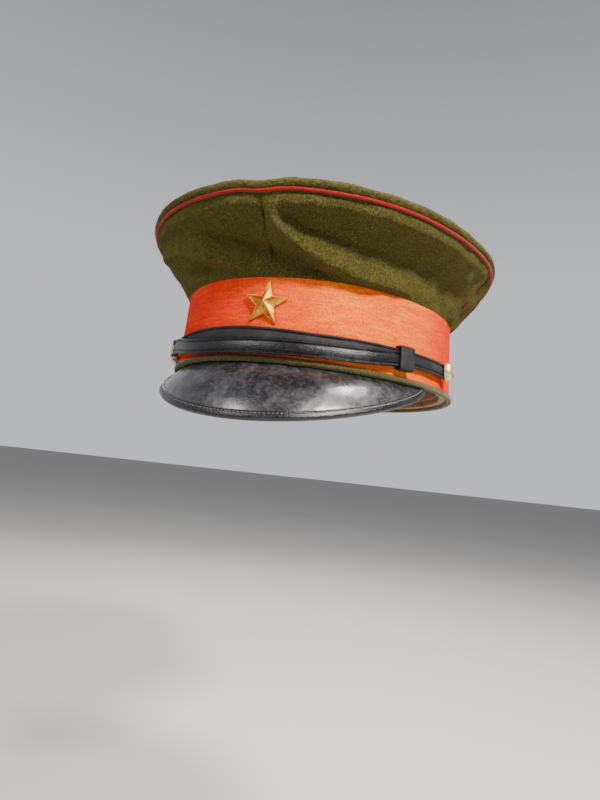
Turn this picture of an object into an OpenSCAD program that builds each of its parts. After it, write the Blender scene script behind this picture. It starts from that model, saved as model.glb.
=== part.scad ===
// Military peaked cap: wool crown on a felt band, a lacquered peak, a chin strap and a star badge.
// The origin is the centre of the head opening on the band's bottom edge. +Z is up, the peak
// points towards -Y and the wearer's left is +X.
//
// Places round the cap are given by the way the wall faces there, in degrees: 0 is the front,
// 90 the wearer's left, 180 the back and -90 the wearer's right.

/* [Band] */
// Half the band's width, measured outside at its bottom edge
band_half_width = 88; // [84:0.5:92]
// Half the band's length from front to back
band_half_length = 103; // [99:0.5:107]
// Height of the band
band_height = 44.5; // [40:0.5:48]
// How far the band leans in at its top edge
band_taper = 2.7; // [1.5:0.1:3.5]
// Thickness of the felt
felt_thickness = 1.5; // [1:0.1:1.5]
// Thickness of the stiffener behind the felt
stiffener_thickness = 2; // [1:0.1:2]
// Thickness of the sweatband's leather
sweatband_thickness = 1.2; // [0.8:0.1:1.6]
// Height of the sweatband
sweatband_height = 40; // [34:0.5:42]

/* [Crown] */
// How far the rim stands out beyond the band
rim_spread = 21; // [16:0.5:24]
// Height of the rim's centre above the band's bottom edge
rim_height = 74.35; // [70:0.5:80]
// How far the rim is set towards the front
rim_forward = 5; // [2:0.5:8]
// Rise of the rim towards the front, in degrees
rim_tilt = 2.92; // [0:0.1:5]
// Thickness of the wool cloth, measured level
cloth_thickness = 1.5; // [1:0.1:1.8]
// How far the sides swell out between band and rim
side_belly = 1; // [0:0.5:4]
// Radius of the red piping
piping_radius = 0.9; // [0.8:0.1:1.2]
// Thickness of the lining cloth
lining_thickness = 0.6; // [0.5:0.1:0.8]
// Radius of the hoop wire that spreads the rim
hoop_radius = 0.9; // [0.7:0.1:1]

/* [Peak] */
// How far the peak reaches out in front of the band
peak_reach = 21.7; // [18:0.1:28]
// How far the peak's front edge hangs below the band
peak_drop = 33; // [28:0.5:38]
// Half the peak's width at its corners
peak_half_width = 77.4; // [77:0.1:79]
// Distance of the peak's corners in front of the cap's middle
corner_forward = 47; // [45:0.5:49]
// Fullness of the peak's outline between centre and corner
peak_fullness = 7.8; // [6:0.1:9]
// Thickness of the peak's board
peak_thickness = 1.8; // [1.4:0.1:2]
// Bulge of the peak across its depth, as a share of the depth
peak_bulge = 0.09; // [0.04:0.01:0.12]
// Width of the rolled binding along the peak's edge
binding_width = 3.2; // [2.5:0.1:5]

/* [Fittings] */
// Height of the strap ends and the side buttons
strap_centre = 10.4; // [10:0.1:11]
// Width of the chin strap
strap_width = 8.8; // [8:0.1:9]
// Thickness of each layer of the strap
strap_thickness = 1.2; // [1:0.1:1.2]
// How far the front layer hangs down at the front
strap_dip = 4.6; // [2:0.1:5]
// How far the rear layer bows up at the front
strap_bow = 2; // [0:0.1:2.5]
// Way that the side buttons face
button_facing = 77; // [76:0.5:80]
// Radius of the side buttons
button_radius = 5.9; // [5:0.1:6]
// Way that the leather keeper faces
keeper_facing = 54.5; // [50:0.5:60]
// Way that the brass slider faces
slider_facing = -59; // [-61:0.5:-57]
// Radius of the star from its centre to its points
star_radius = 13; // [10:0.1:14]
// Height of the star's centre on the band
star_centre = 29.4; // [28:0.1:31]

/* [Hidden] */
$fn = 64;

// The outline is a four-centred oval: two end arcs and two flatter side arcs, which meet
// where the wall faces 45 degrees. The arcs' centres are all as far from the middle.
junction = 45;
arc_centre = (band_half_length - band_half_width) / (2 - sqrt(2));
end_radius = band_half_length - arc_centre;
side_radius = band_half_width + arc_centre;
lean = band_taper / band_height;
lean_angle = atan(lean);

// Facets of a turned ring and of the thin round sections that run round it
ring_facets = 180;
cord_facets = 12;

// Gaps and small thicknesses
hair_gap = 0.1;
seam_half_angle = 0.04;
flange_half = 0.4;
flange_width = 8;
station_step = 5;

// Olive cord between the band and the peak
cord_radius = 1.7;
cord_out = 0.3;
cord_below = 1.75;

// Layers inside the band, as distances in from its outer face
stiffener_in = felt_thickness + stiffener_thickness;
sweatband_in = 5.2;
sweatband_foot = 1.2;
sweatband_foot_in = 1.8;
lining_skirt = 6;

// Crown details, in the rim's own tilted plane
top_profile = [[-1, 0.45], [0.2, 1.45], [0.7, 2.9], [0.1, 4.7], [-2.2, 6.3], [-5.8, 7.2], [-10, 7.5]];
top_under = [[-2.2, 0.45], [-1.2, 1.6], [-0.8, 2.9], [-1.2, 4.2], [-2.9, 5.1], [-6.1, 5.9], [-10, 6.2]];
top_rings = [[0.8, 0], [0.55, -0.3], [0.3, -0.6], [0.1, -0.8]];
side_shares = [0, 0.2, 0.4, 0.6, 0.8, 1];
lining_out = 7;
lining_side_out = 8.6;
hoop_in = 6.8;
hoop_below = 2.6;
ferrule_radius = 1.5;
ferrule_span = 7;

// Vent eyelets: way they face, and share of the way up the side
eyelet_facing = 86.5;
eyelet_rises = [0.4, 0.64];
eyelet_flange = 2.3;
eyelet_bore = 1.1;
eyelet_tube = 1.5;
eyelet_plate = 0.5;
eyelet_depth = 2;

// Peak outline and section
peak_stations = [for (t = [-84:3:84]) t];
peak_swing = 1.67;
peak_fall = 1.5;
corner_below = 3.6;
peak_root = [-0.8, -4];
peak_upstand = [[-2.3, -1.25], [-2.2, -3.3]];
peak_upstand_back = [[-4.1, -4.8], [-4.1, -1.25]];
peak_rows = [0, 0.25, 0.5, 0.75, 0.9, 1];
peak_lining_thickness = 0.5;
binding_thickness = 0.7;
binding_edge = 1.2;

// Chin strap: the layers' distances out from the band
rear_out = 2.5;
front_out = rear_out + strap_thickness;
strap_front_face = front_out + strap_thickness;
strap_play = 0.3;
front_end = keeper_facing + 2;
rear_end = slider_facing - 2;
dip_spans = [54, 60];
bow_span = 40;
bow_facing = -15;
keeper_wall = 1.3;
keeper_half_angle = 2.5;
keeper_sag = 1.5;
keeper_bevel = 0.5;
slider_wall = 0.7;
slider_bevel = 0.3;
slider_half_angle = 2;
slider_window = [4.4, 1];
strap_hole = 1.75;
tip_run = 4;
tip_height = 12;
tip_reach = 200;

// Side buttons
pin_radius = 1.4;
pin_play = 0.08;
pin_leg = [5, 2, 0.5];
pin_leg_in = 4.1;
button_flange = 0.9;
button_dome = 3.6;
button_dome_radius = 5.4;
button_boss = 1.3;
boss_sunk = 0.3;
boss_height = 0.7;

// Star badge and its prongs
star_inner = 0.42;
star_edge = 0.9;
star_height = 5.8;
star_gap = 0.15;
star_facing = -0.8;
star_turn = -4;
prong = [2.4, 0.6];
prong_apart = 4;
prong_length = 5;
prong_clear = 0.3;

// ---- Outline and placing ----

// Unit vector that a wall facing t points along, seen from above
function facing(t) = [sin(t), -cos(t)];

// Point of the outline, moved out by off, where the wall faces t
function oval(t, off) =
  abs(cos(t)) >= cos(junction)
    ? [0, -sign(cos(t)) * arc_centre] + (end_radius + off) * facing(t)
    : [-sign(sin(t)) * arc_centre, 0] + (side_radius + off) * facing(t);

// Way that the outline faces nearest to a point in front of it, and the point's distance out
function end_facing(p) = atan2(p.x, -p.y - arc_centre);
function side_facing(p) = sign(p.x) * (90 - atan2(-p.y, abs(p.x) + arc_centre));
function faces_end(p) = abs(end_facing(p)) <= junction;
function nearest_facing(p) = faces_end(p) ? end_facing(p) : side_facing(p);
function distance_out(p) =
  faces_end(p)
    ? norm([p.x, p.y + arc_centre]) - end_radius
    : norm([abs(p.x) + arc_centre, p.y]) - side_radius;

// Point of the tilted rim plane in the cap's frame
function rim_place(p, z) = [
  p.x,
  -rim_forward + p.y * cos(rim_tilt) + z * sin(rim_tilt),
  rim_height - p.y * sin(rim_tilt) + z * cos(rim_tilt)
];

module in_rim_frame() {
  translate([0, -rim_forward, rim_height]) rotate([-rim_tilt, 0, 0]) children();
}

// Local frame on the band: X along it, Y up it and Z out of it
module on_band(t, z) {
  p = oval(t, -lean * z);
  translate([p.x, p.y, z]) rotate([0, 0, t]) rotate([90 - lean_angle, 0, 0]) children();
}

// Sweeps a profile drawn with X as distance out and Y as height, between two facings
module arc_run(centre, radius, from, to) {
  if (to > from)
    translate(centre)
      rotate([0, 0, from - 90])
        rotate_extrude(angle = to - from, $fn = ring_facets)
          translate([radius, 0])
            children();
}

module front_run(from, to) {
  arc_run([arc_centre, 0], side_radius, max(from, junction - 180), min(to, -junction))
    children();
  arc_run([0, -arc_centre], end_radius, max(from, -junction), min(to, junction)) children();
  arc_run([-arc_centre, 0], side_radius, max(from, junction), min(to, 180 - junction))
    children();
}

module full_ring() {
  front_run(junction - 180, 180 - junction) children();
  arc_run([0, arc_centre], end_radius, 180 - junction, 180 + junction) children();
}

// Leaning layer of the band between two distances out and two heights
module wall_profile(inner, outer, low, high) {
  polygon([
    [inner - lean * low, low], [outer - lean * low, low],
    [outer - lean * high, high], [inner - lean * high, high]
  ]);
}

// ---- Lofts ----

// Solid through equal loops of points, closed on itself or capped at both ends. A cap is one
// flat face, or strips that join each point of a bent loop to the one across from it.
module loft(loops, closed = false, strips = false) {
  count = len(loops);
  size = len(loops[0]);
  last = closed ? count - 1 : count - 2;
  end = (count - 1) * size;
  points = [for (loop = loops) each loop];
  walls = [
    for (i = [0:last], j = [0:size - 1])
      let (
        a = i * size + j,
        b = i * size + (j + 1) % size,
        c = ((i + 1) % count) * size + (j + 1) % size,
        d = ((i + 1) % count) * size + j
      )
      each [[a, b, c], [a, c, d]]
  ];
  flat_caps = [[for (j = [size - 1:-1:0]) j], [for (j = [0:size - 1]) end + j]];
  strip_caps = [
    for (j = [0:size / 2 - 2])
      let (b = j + 1, c = size - 2 - j, d = size - 1 - j)
      each [
        [j, c, b], [j, d, c],
        [end + j, end + b, end + c], [end + j, end + c, end + d]
      ]
  ];
  caps = closed ? [] : strips ? strip_caps : flat_caps;
  polyhedron(points = points, faces = concat(walls, caps), convexity = 6);
}

// ---- Crown ----

function mix(a, b, s) = a + (b - a) * s;
function unit(v) = v / norm(v);

// Lower and upper ends of the crown's side where it faces t, set in by inset
function side_foot(t, inset) = concat(oval(t, -band_taper - inset), band_height);
function side_head(t, inset) =
  rim_place(oval(t, rim_spread - piping_radius - inset), -flange_half);
function side_normal(t) =
  cross([cos(t), sin(t), 0], unit(side_head(t, 0) - side_foot(t, 0)));

// Point of the crown's side, a share s of the way up. The belly is fullest two thirds up,
// where s * s * (1 - s) is 4 / 27.
function belly(s) = side_belly * 27 / 4 * s * s * (1 - s);
function side_point(t, s, inset) =
  mix(side_foot(t, inset), side_head(t, inset), s) + belly(s) * side_normal(t);

function side_loop(t) = concat(
  [for (s = side_shares) side_point(t, s, 0)],
  [for (i = [len(side_shares) - 1:-1:0]) side_point(t, side_shares[i], cloth_thickness)]
);

// One quarter of the crown's side, from facing t0 to t0 + 90
module crown_quarter(t0) {
  from = t0 + seam_half_angle;
  sweep = 90 - 2 * seam_half_angle;
  steps = round(90 / station_step);
  loft([for (i = [0:steps]) side_loop(from + sweep * i / steps)], strips = true);
}

module on_side(s, mirrored) {
  p = side_point(eyelet_facing, s, 0);
  up = side_point(eyelet_facing, s + 0.05, 0) - side_point(eyelet_facing, s - 0.05, 0);
  flare = atan2(up * concat(facing(eyelet_facing), 0), up.z);
  mirror([mirrored ? 1 : 0, 0, 0])
    translate(p)
      rotate([0, 0, eyelet_facing])
        rotate([90 + flare, 0, 0])
          children();
}

module eyelet_holes(mirrored) {
  for (s = eyelet_rises)
    on_side(s, mirrored)
      cylinder(r = eyelet_tube + hair_gap, h = 6 * eyelet_depth, center = true);
}

module vent_eyelets(mirrored) {
  for (s = eyelet_rises)
    on_side(s, mirrored)
      difference() {
        union() {
          translate([0, 0, hair_gap]) cylinder(r = eyelet_flange, h = eyelet_plate);
          translate([0, 0, -eyelet_depth])
            cylinder(r = eyelet_tube, h = eyelet_depth + eyelet_plate / 2);
        }
        cylinder(r = eyelet_bore, h = 3 * eyelet_depth, center = true);
      }
}

module vent_eyelets_left() {
  color("saddlebrown") vent_eyelets(false);
}

module vent_eyelets_right() {
  color("saddlebrown") vent_eyelets(true);
}

module crown_front_left() {
  color("darkolivegreen")
    difference() {
      crown_quarter(0);
      eyelet_holes(false);
    }
}

module crown_front_right() {
  color("darkolivegreen")
    difference() {
      crown_quarter(-90);
      eyelet_holes(true);
    }
}

module crown_back_left() {
  color("darkolivegreen") crown_quarter(90);
}

module crown_back_right() {
  color("darkolivegreen") crown_quarter(180);
}

// Ring of the top panel at one point of its profile, and a ring drawn in towards the middle
function rim_ring(p) = [for (t = [0:station_step:359]) rim_place(oval(t, rim_spread + p.x), p.y)];
function inner_ring(p, scaled) = [
  for (t = [0:station_step:359])
    rim_place(scaled[0] * oval(t, rim_spread + p.x), p.y + scaled[1])
];

// The top panel's skin is one loft of rings, over the top and back underneath
module crown_top_panel() {
  edge = len(top_profile) - 1;
  over = concat(
    [for (p = top_profile) rim_ring(p)],
    [for (k = top_rings) inner_ring(top_profile[edge], k)]
  );
  under = concat(
    [for (p = top_under) rim_ring(p)],
    [for (k = top_rings) inner_ring(top_under[edge], k)]
  );
  size = len(over[0]);
  rows = len(over);
  points = concat([for (ring = over) each ring], [for (ring = under) each ring]);
  base = rows * size;
  skin = [
    for (i = [0:rows - 2], j = [0:size - 1])
      let (a = i * size + j, b = i * size + (j + 1) % size, c = b + size, d = a + size)
      each [[a, c, b], [a, d, c], [base + a, base + b, base + c], [base + a, base + c, base + d]]
  ];
  hem = [
    for (j = [0:size - 1])
      let (a = j, b = (j + 1) % size)
      each [[a, b, base + b], [a, base + b, base + a]]
  ];
  middles = [
    [for (j = [size - 1:-1:0]) (rows - 1) * size + j],
    [for (j = [0:size - 1]) base + (rows - 1) * size + j]
  ];
  color("darkolivegreen")
    polyhedron(points = points, faces = concat(skin, hem, middles), convexity = 6);
}

// Red piping with its sewn-in tape
module crown_piping() {
  color("orangered")
    in_rim_frame()
      full_ring()
        translate([rim_spread, 0]) {
          circle(r = piping_radius);
          translate([-flange_width, -flange_half]) square([flange_width, 2 * flange_half]);
        }
}

// Spring wire that spreads the rim, with its ends held in a ferrule at the back
module crown_hoop_wire() {
  color("silver")
    in_rim_frame()
      full_ring()
        translate([rim_spread - hoop_in, -hoop_below])
          circle(r = hoop_radius, $fn = cord_facets);
}

module hoop_ferrule() {
  color("gold")
    in_rim_frame()
      arc_run([0, arc_centre], end_radius, 180 - ferrule_span, 180 + ferrule_span)
        translate([rim_spread - hoop_in, -hoop_below])
          difference() {
            circle(r = ferrule_radius, $fn = cord_facets);
            circle(r = hoop_radius, $fn = cord_facets);
          }
}

module crown_lining_tip() {
  color("tan")
    in_rim_frame()
      translate([0, 0, -flange_half - lining_thickness])
        linear_extrude(lining_thickness)
          polygon([for (t = [0:station_step / 2:359]) oval(t, rim_spread - lining_out)]);
}

// The lining hangs from the tip and goes down behind the stiffener
function lining_loop(t) =
  let (
    top = rim_place(oval(t, rim_spread - lining_side_out), -flange_half - lining_thickness),
    top_in = rim_place(
      oval(t, rim_spread - lining_side_out - lining_thickness), -flange_half - lining_thickness
    ),
    hem = band_height - lining_skirt,
    back = -stiffener_in - hair_gap,
    foot = concat(oval(t, back - band_taper), band_height),
    foot_in = concat(oval(t, back - band_taper - lining_thickness), band_height)
  )
  [
    concat(oval(t, back - lean * hem), hem),
    foot, mix(foot, top, 0.5), top,
    top_in, mix(foot_in, top_in, 0.5), foot_in,
    concat(oval(t, back - lean * hem - lining_thickness), hem)
  ];

module crown_lining_side() {
  color("tan") loft([for (t = [0:station_step:359]) lining_loop(t)], closed = true);
}

// ---- Band ----

module pin_holes(radius) {
  for (t = [-button_facing, button_facing])
    on_band(t, strap_centre)
      translate([0, 0, -stiffener_in - 1])
        cylinder(r = radius, h = stiffener_in + 2);
}

module prong_slots() {
  for (side = [-1, 1])
    on_band(star_facing, star_centre)
      translate([side * prong_apart, 0, -stiffener_in / 2])
        cube([prong.x + 0.2, prong.y + 0.2, stiffener_in + 2], center = true);
}

module hat_band() {
  color("orangered")
    difference() {
      full_ring() wall_profile(-felt_thickness, 0, 0, band_height);
      pin_holes(pin_radius + pin_play);
      prong_slots();
    }
}

module band_stiffener() {
  color("wheat")
    difference() {
      full_ring() wall_profile(-stiffener_in, -felt_thickness, 0, band_height);
      pin_holes(pin_radius + pin_play);
      prong_slots();
    }
}

module lower_piping() {
  color("olive")
    full_ring()
      translate([cord_out, -cord_below])
        circle(r = cord_radius, $fn = cord_facets);
}

// Leather band against the head, with a foot turned out under the stiffener
module sweatband() {
  inner = -sweatband_in - sweatband_thickness;
  color("sienna")
    full_ring()
      polygon([
        [inner, -sweatband_foot], [-sweatband_foot_in, -sweatband_foot],
        [-sweatband_foot_in, 0], [-sweatband_in, 0],
        [-sweatband_in - lean * sweatband_height, sweatband_height],
        [inner - lean * sweatband_height, sweatband_height]
      ]);
}

// ---- Peak ----

// Edge of the peak's board, followed from one corner to the other
function peak_edge(t) = [
  peak_half_width * sin(t) + peak_fullness * sin(2 * t),
  -corner_forward - (peak_reach + band_half_length - corner_forward) * pow(cos(t), peak_swing),
  -corner_below - (peak_drop - corner_below) * pow(cos(t), peak_fall)
];

// A cross-section of the peak is flat and faces the way the band does. In it a point is
// a distance out and a height, and depth and rise are unit vectors along and out of the peak.
function edge_out(t) = [distance_out(peak_edge(t)), peak_edge(t).z];
function depth_of(t) = norm(edge_out(t) - peak_root);
function along(t) = unit(edge_out(t) - peak_root);
function rise(t) = [-along(t).y, along(t).x];
function bulge(t) = 4 * peak_bulge * depth_of(t) / depth_of(0);
function bulged(t, s) =
  mix(peak_root, edge_out(t), s) + bulge(t) * depth_of(t) * s * (1 - s) * rise(t);
function slope(t, s) = unit(along(t) + bulge(t) * (1 - 2 * s) * rise(t));
function leather(t, s, up, on = 0) =
  bulged(t, s) + up * [-slope(t, s).y, slope(t, s).x] + on * slope(t, s);

// Turns a section's points into points of the cap
function section(t, loop) =
  let (way = nearest_facing(peak_edge(t)))
  [for (p = loop) concat(oval(way, p.x), p.y)];

module peak() {
  rows = len(peak_rows) - 1;
  color("black")
    loft([
      for (t = peak_stations)
        section(t, concat(
          peak_upstand,
          [for (s = peak_rows) leather(t, s, 0)],
          [for (i = [rows:-1:0]) leather(t, peak_rows[i], -peak_thickness)],
          peak_upstand_back
        ))
    ]);
}

module peak_lining() {
  rows = len(peak_rows) - 1;
  over = -peak_thickness - hair_gap;
  color("darkgreen")
    loft([
      for (t = peak_stations)
        section(t, concat(
          [for (s = peak_rows) leather(t, s, over)],
          [for (i = [rows:-1:0]) leather(t, peak_rows[i], over - peak_lining_thickness)]
        ))
    ]);
}

// Leather strip rolled round the edges of the board and its lining
function binding_loop(t) =
  let (
    start = 1 - min(binding_width / depth_of(t), 0.8),
    under = -peak_thickness - peak_lining_thickness - 2 * hair_gap,
    roll = hair_gap + binding_thickness,
    middle = (hair_gap + under) / 2
  )
  [
    leather(t, start, hair_gap), leather(t, start, roll),
    leather(t, 1, roll), leather(t, 1, roll / 2, binding_edge - 0.2),
    leather(t, 1, middle, binding_edge + 0.2),
    leather(t, 1, under - roll / 2, binding_edge - 0.2), leather(t, 1, under - roll),
    leather(t, start, under - roll), leather(t, start, under - hair_gap),
    leather(t, 1, under - hair_gap, hair_gap), leather(t, 1, hair_gap, hair_gap)
  ];

module peak_binding() {
  color("dimgray") loft([for (t = peak_stations) section(t, binding_loop(t))]);
}

// ---- Badge ----

module star_badge() {
  corners = [
    for (i = [0:9])
      let (r = i % 2 == 0 ? star_radius : star_inner * star_radius, way = 90 + 36 * i)
      [r * cos(way), r * sin(way)]
  ];
  points = concat(
    [for (c = corners) concat(c, 0)],
    [for (c = corners) concat(c, star_edge)],
    [[0, 0, star_height]]
  );
  walls = [
    for (i = [0:9])
      let (j = (i + 1) % 10)
      each [[i, i + 10, j + 10], [i, j + 10, j], [i + 10, 20, j + 10]]
  ];
  color("gold")
    on_band(star_facing, star_centre)
      translate([0, 0, star_gap])
        rotate([0, 0, star_turn])
          polyhedron(points = points, faces = concat(walls, [[for (i = [0:9]) i]]));
}

// Two flat prongs go through the band, and one is folded up and one down behind the stiffener
module badge_prongs() {
  reach = stiffener_in + star_gap + prong_clear;
  color("gold")
    for (side = [-1, 1])
      on_band(star_facing, star_centre)
        translate([side * prong_apart, 0, star_gap]) {
          translate([0, 0, -reach / 2]) cube([prong.x, prong.y, reach], center = true);
          translate([0, side * (prong_length - prong.y) / 2, -reach - prong.y / 2])
            cube([prong.x, prong_length, prong.y], center = true);
        }
}

// ---- Chin strap ----

// Heights that the front layer hangs below the strap's ends, and the rear layer bows above them
function dip(t) =
  let (span = t < 0 ? dip_spans[0] : dip_spans[1])
  abs(t) < span ? strap_dip * pow(1 - pow(t / span, 6), 2) : 0;
function bow(t) =
  let (share = (t - bow_facing) / bow_span)
  abs(share) < 1 ? strap_bow * pow(1 - pow(share, 2), 2) : 0;

// Space in front of the button at t, with a round end behind the button
module tip_space(t) {
  on_band(t, strap_centre) {
    cylinder(r = strap_width / 2, h = tip_height);
    translate([t > 0 ? -tip_reach : 0, -tip_reach / 2, -tip_reach])
      cube([tip_reach, tip_reach, 2 * tip_reach]);
  }
}

// Cross-section of a layer that lies out from the band and hangs drop below the strap's ends
function strap_loop(t, out, drop) =
  let (
    low = strap_centre - strap_width / 2 - drop,
    high = low + strap_width,
    face = out + strap_thickness
  )
  [
    concat(oval(t, out - lean * low), low),
    concat(oval(t, face - lean * low), low),
    concat(oval(t, face - lean * high), high),
    concat(oval(t, out - lean * high), high)
  ];

// One layer of the strap, from its round end at a button to its square end at stop
module strap_layer(button_at, stop, out, hanging) {
  from = button_at + sign(button_at) * tip_run;
  steps = round(abs(stop - from) / 2);
  runs = [for (i = [0:steps]) from + (stop - from) * i / steps];
  ordered = stop > from ? runs : [for (i = [steps:-1:0]) runs[i]];
  difference() {
    intersection() {
      loft([for (t = ordered) strap_loop(t, out, hanging ? dip(t) : -bow(t))]);
      tip_space(button_at);
    }
    on_band(button_at, strap_centre) cylinder(r = strap_hole, h = tip_height);
  }
}

// Front layer: from the wearer's right button, through the slider, to its end in the keeper
module chin_strap_front() {
  color("#2b2a29") strap_layer(-button_facing, front_end, front_out, true);
}

// Rear layer: from the wearer's left button to its end in the slider
module chin_strap_rear() {
  color("#383430") strap_layer(button_facing, rear_end, rear_out, false);
}

// Loop round both layers, as a profile with bevelled corners, with room below for a sag
module loop_profile(wall, bevel, sag = 0) {
  inner = rear_out - strap_play;
  outer = strap_front_face + strap_play;
  low = strap_centre - strap_width / 2 - strap_play - sag;
  high = strap_centre + strap_width / 2 + strap_play;
  difference() {
    polygon([
      [inner - wall + bevel - lean * low, low - wall], [outer + wall - bevel - lean * low, low - wall],
      [outer + wall - lean * low, low - wall + bevel],
      [outer + wall - lean * high, high + wall - bevel],
      [outer + wall - bevel - lean * high, high + wall],
      [inner - wall + bevel - lean * high, high + wall],
      [inner - wall - lean * high, high + wall - bevel],
      [inner - wall - lean * low, low - wall + bevel]
    ]);
    wall_profile(inner, outer, low, high);
  }
}

module strap_keeper() {
  color("#2b2a29")
    front_run(keeper_facing - keeper_half_angle, keeper_facing + keeper_half_angle)
      loop_profile(keeper_wall, keeper_bevel, keeper_sag);
}

// Brass frame with a window in its face
module strap_slider() {
  color("gold")
    difference() {
      front_run(slider_facing - slider_half_angle, slider_facing + slider_half_angle)
        loop_profile(slider_wall, slider_bevel);
      on_band(slider_facing, strap_centre)
        translate([0, 0, strap_front_face + 2])
          cube([slider_window.x, strap_width - slider_window.y, 4], center = true);
    }
}

// ---- Side buttons ----

// Domed button with its underside a little clear of the strap
module button(t, under) {
  dome_sphere = (pow(button_dome, 2) + pow(button_dome_radius, 2)) / (2 * button_dome);
  top = under + button_flange;
  color("gold")
    on_band(t, strap_centre) {
      translate([0, 0, under]) cylinder(r = button_radius, h = button_flange);
      intersection() {
        translate([0, 0, top]) cylinder(r = button_radius, h = button_dome + 1);
        translate([0, 0, top + button_dome - dome_sphere]) sphere(r = dome_sphere);
      }
      translate([0, 0, top + button_dome - boss_sunk])
        cylinder(r = button_boss, h = boss_height);
    }
}

// Split pin: its shank turns in the band and its legs are folded flat behind the stiffener
module button_pin(t, under) {
  color("silver")
    on_band(t, strap_centre) {
      translate([0, 0, -pin_leg_in]) cylinder(r = pin_radius, h = pin_leg_in + under);
      translate([0, 0, -pin_leg_in - pin_leg.z / 2])
        cube([2 * pin_leg.x, pin_leg.y, pin_leg.z], center = true);
    }
}

left_under = front_out + 0.25;
right_under = strap_front_face + 0.25;

module button_left() {
  button(button_facing, left_under);
}

module button_pin_left() {
  button_pin(button_facing, left_under);
}

module button_right() {
  button(-button_facing, right_under);
}

module button_pin_right() {
  button_pin(-button_facing, right_under);
}

crown_top_panel();
crown_front_left();
crown_front_right();
crown_back_left();
crown_back_right();
crown_piping();
crown_hoop_wire();
hoop_ferrule();
crown_lining_tip();
crown_lining_side();
vent_eyelets_left();
vent_eyelets_right();
hat_band();
band_stiffener();
lower_piping();
sweatband();
peak();
peak_lining();
peak_binding();
star_badge();
badge_prongs();
chin_strap_front();
chin_strap_rear();
strap_keeper();
strap_slider();
button_left();
button_pin_left();
button_right();
button_pin_right();
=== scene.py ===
"""Military peaked cap: its looks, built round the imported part. Lengths are in millimetres here
and become metres where a mesh is made. Places round the cap are given by the way the wall
faces, in degrees: 0 is the front, 90 the wearer's left, 180 the back."""

import math

import bmesh
import bpy
import numpy as np
from mathutils import Matrix, Vector


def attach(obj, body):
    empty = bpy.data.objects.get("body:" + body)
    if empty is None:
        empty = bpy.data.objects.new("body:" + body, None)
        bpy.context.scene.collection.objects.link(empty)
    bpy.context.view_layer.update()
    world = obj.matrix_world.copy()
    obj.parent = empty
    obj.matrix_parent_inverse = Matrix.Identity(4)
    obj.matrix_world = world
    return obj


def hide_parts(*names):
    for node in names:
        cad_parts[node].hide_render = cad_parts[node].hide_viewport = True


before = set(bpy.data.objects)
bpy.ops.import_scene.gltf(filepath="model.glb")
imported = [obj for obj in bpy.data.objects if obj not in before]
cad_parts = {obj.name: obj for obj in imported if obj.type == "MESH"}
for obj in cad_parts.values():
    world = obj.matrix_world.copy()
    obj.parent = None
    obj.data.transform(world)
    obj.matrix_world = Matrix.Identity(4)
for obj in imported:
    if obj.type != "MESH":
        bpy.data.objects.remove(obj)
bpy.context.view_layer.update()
MM = 0.001

# ---- Sizes, as in the CAD model ----

BAND_HALF_WIDTH = 88.0
BAND_HALF_LENGTH = 103.0
BAND_HEIGHT = 44.5
BAND_TAPER = 2.7
FELT = 1.5
STIFFENER_IN = 3.5
SWEATBAND_IN = 5.2
SWEATBAND_THICKNESS = 1.2
SWEATBAND_HEIGHT = 40.0
SWEATBAND_FOOT = 1.2
RIM_SPREAD = 21.0
RIM_HEIGHT = 74.35
RIM_FORWARD = 5.0
RIM_TILT = math.radians(2.92)
CLOTH = 1.3
SIDE_BELLY = 1.0
PIPING_RADIUS = 0.95
LINING = 0.6
CORD_RADIUS = 1.7
CORD_OUT = 0.3
CORD_BELOW = 1.75
PEAK_REACH = 21.7
PEAK_DROP = 33.0
PEAK_HALF_WIDTH = 77.4
CORNER_FORWARD = 47.0
CORNER_BELOW = 3.6
PEAK_FULLNESS = 7.8
PEAK_SWING = 1.67
PEAK_FALL = 1.5
PEAK_THICKNESS = 1.8
PEAK_BULGE = 0.09
PEAK_LINING = 0.5
PEAK_ROOT = np.array([-0.8, -3.5])
BINDING_WIDTH = 3.2
BINDING_THICKNESS = 0.7
BINDING_EDGE = 1.2
STRAP_CENTRE = 10.4
STRAP_WIDTH = 8.8
STRAP_THICKNESS = 1.2
STRAP_DIP = 4.6
DIP_SPANS = (54.0, 60.0)
STRAP_BOW = 2.0
BOW_FACING = -15.0
BOW_SPAN = 40.0
KEEPER_SAG = 1.5
REAR_OUT = 2.5
FRONT_OUT = REAR_OUT + STRAP_THICKNESS
BUTTON_FACING = 77.0
BUTTON_RADIUS = 5.9
KEEPER_FACING = 54.5
SLIDER_FACING = -59.0
STAR_RADIUS = 13.0
STAR_INNER = 0.42
STAR_HEIGHT = 5.8
STAR_FACING = -0.8
STAR_TURN = -4.0
STAR_GAP = 0.15
STAR_CENTRE = 29.4
EYELET_FACING = 86.5
EYELET_RISES = (0.40, 0.64)

# ---- Sizes of details that are only in the looks ----

QUARTER_GAP = 0.05
WIRE_SHARE = 0.92
WIRE_GIVE = 0.8
WIRE_SLOPE = 14.0
PIPING_TAPE = 7.5
LINING_CLEAR = 0.15
LINING_HEM = 6.0
TIP_BELOW = 1.05
CORD_STRANDS = 3
CORD_LAY = 6.9
STITCH_PITCH = 2.2
SWEATBAND_STITCH_HEIGHT = 3.2
BINDING_STITCH_SHARE = 0.58
BUTTON_GAP = 0.25
LOOP_CLEAR = 0.3

# ---- Camera and studio: angles in radians, camera lengths in millimetres, lights in metres ----

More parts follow.
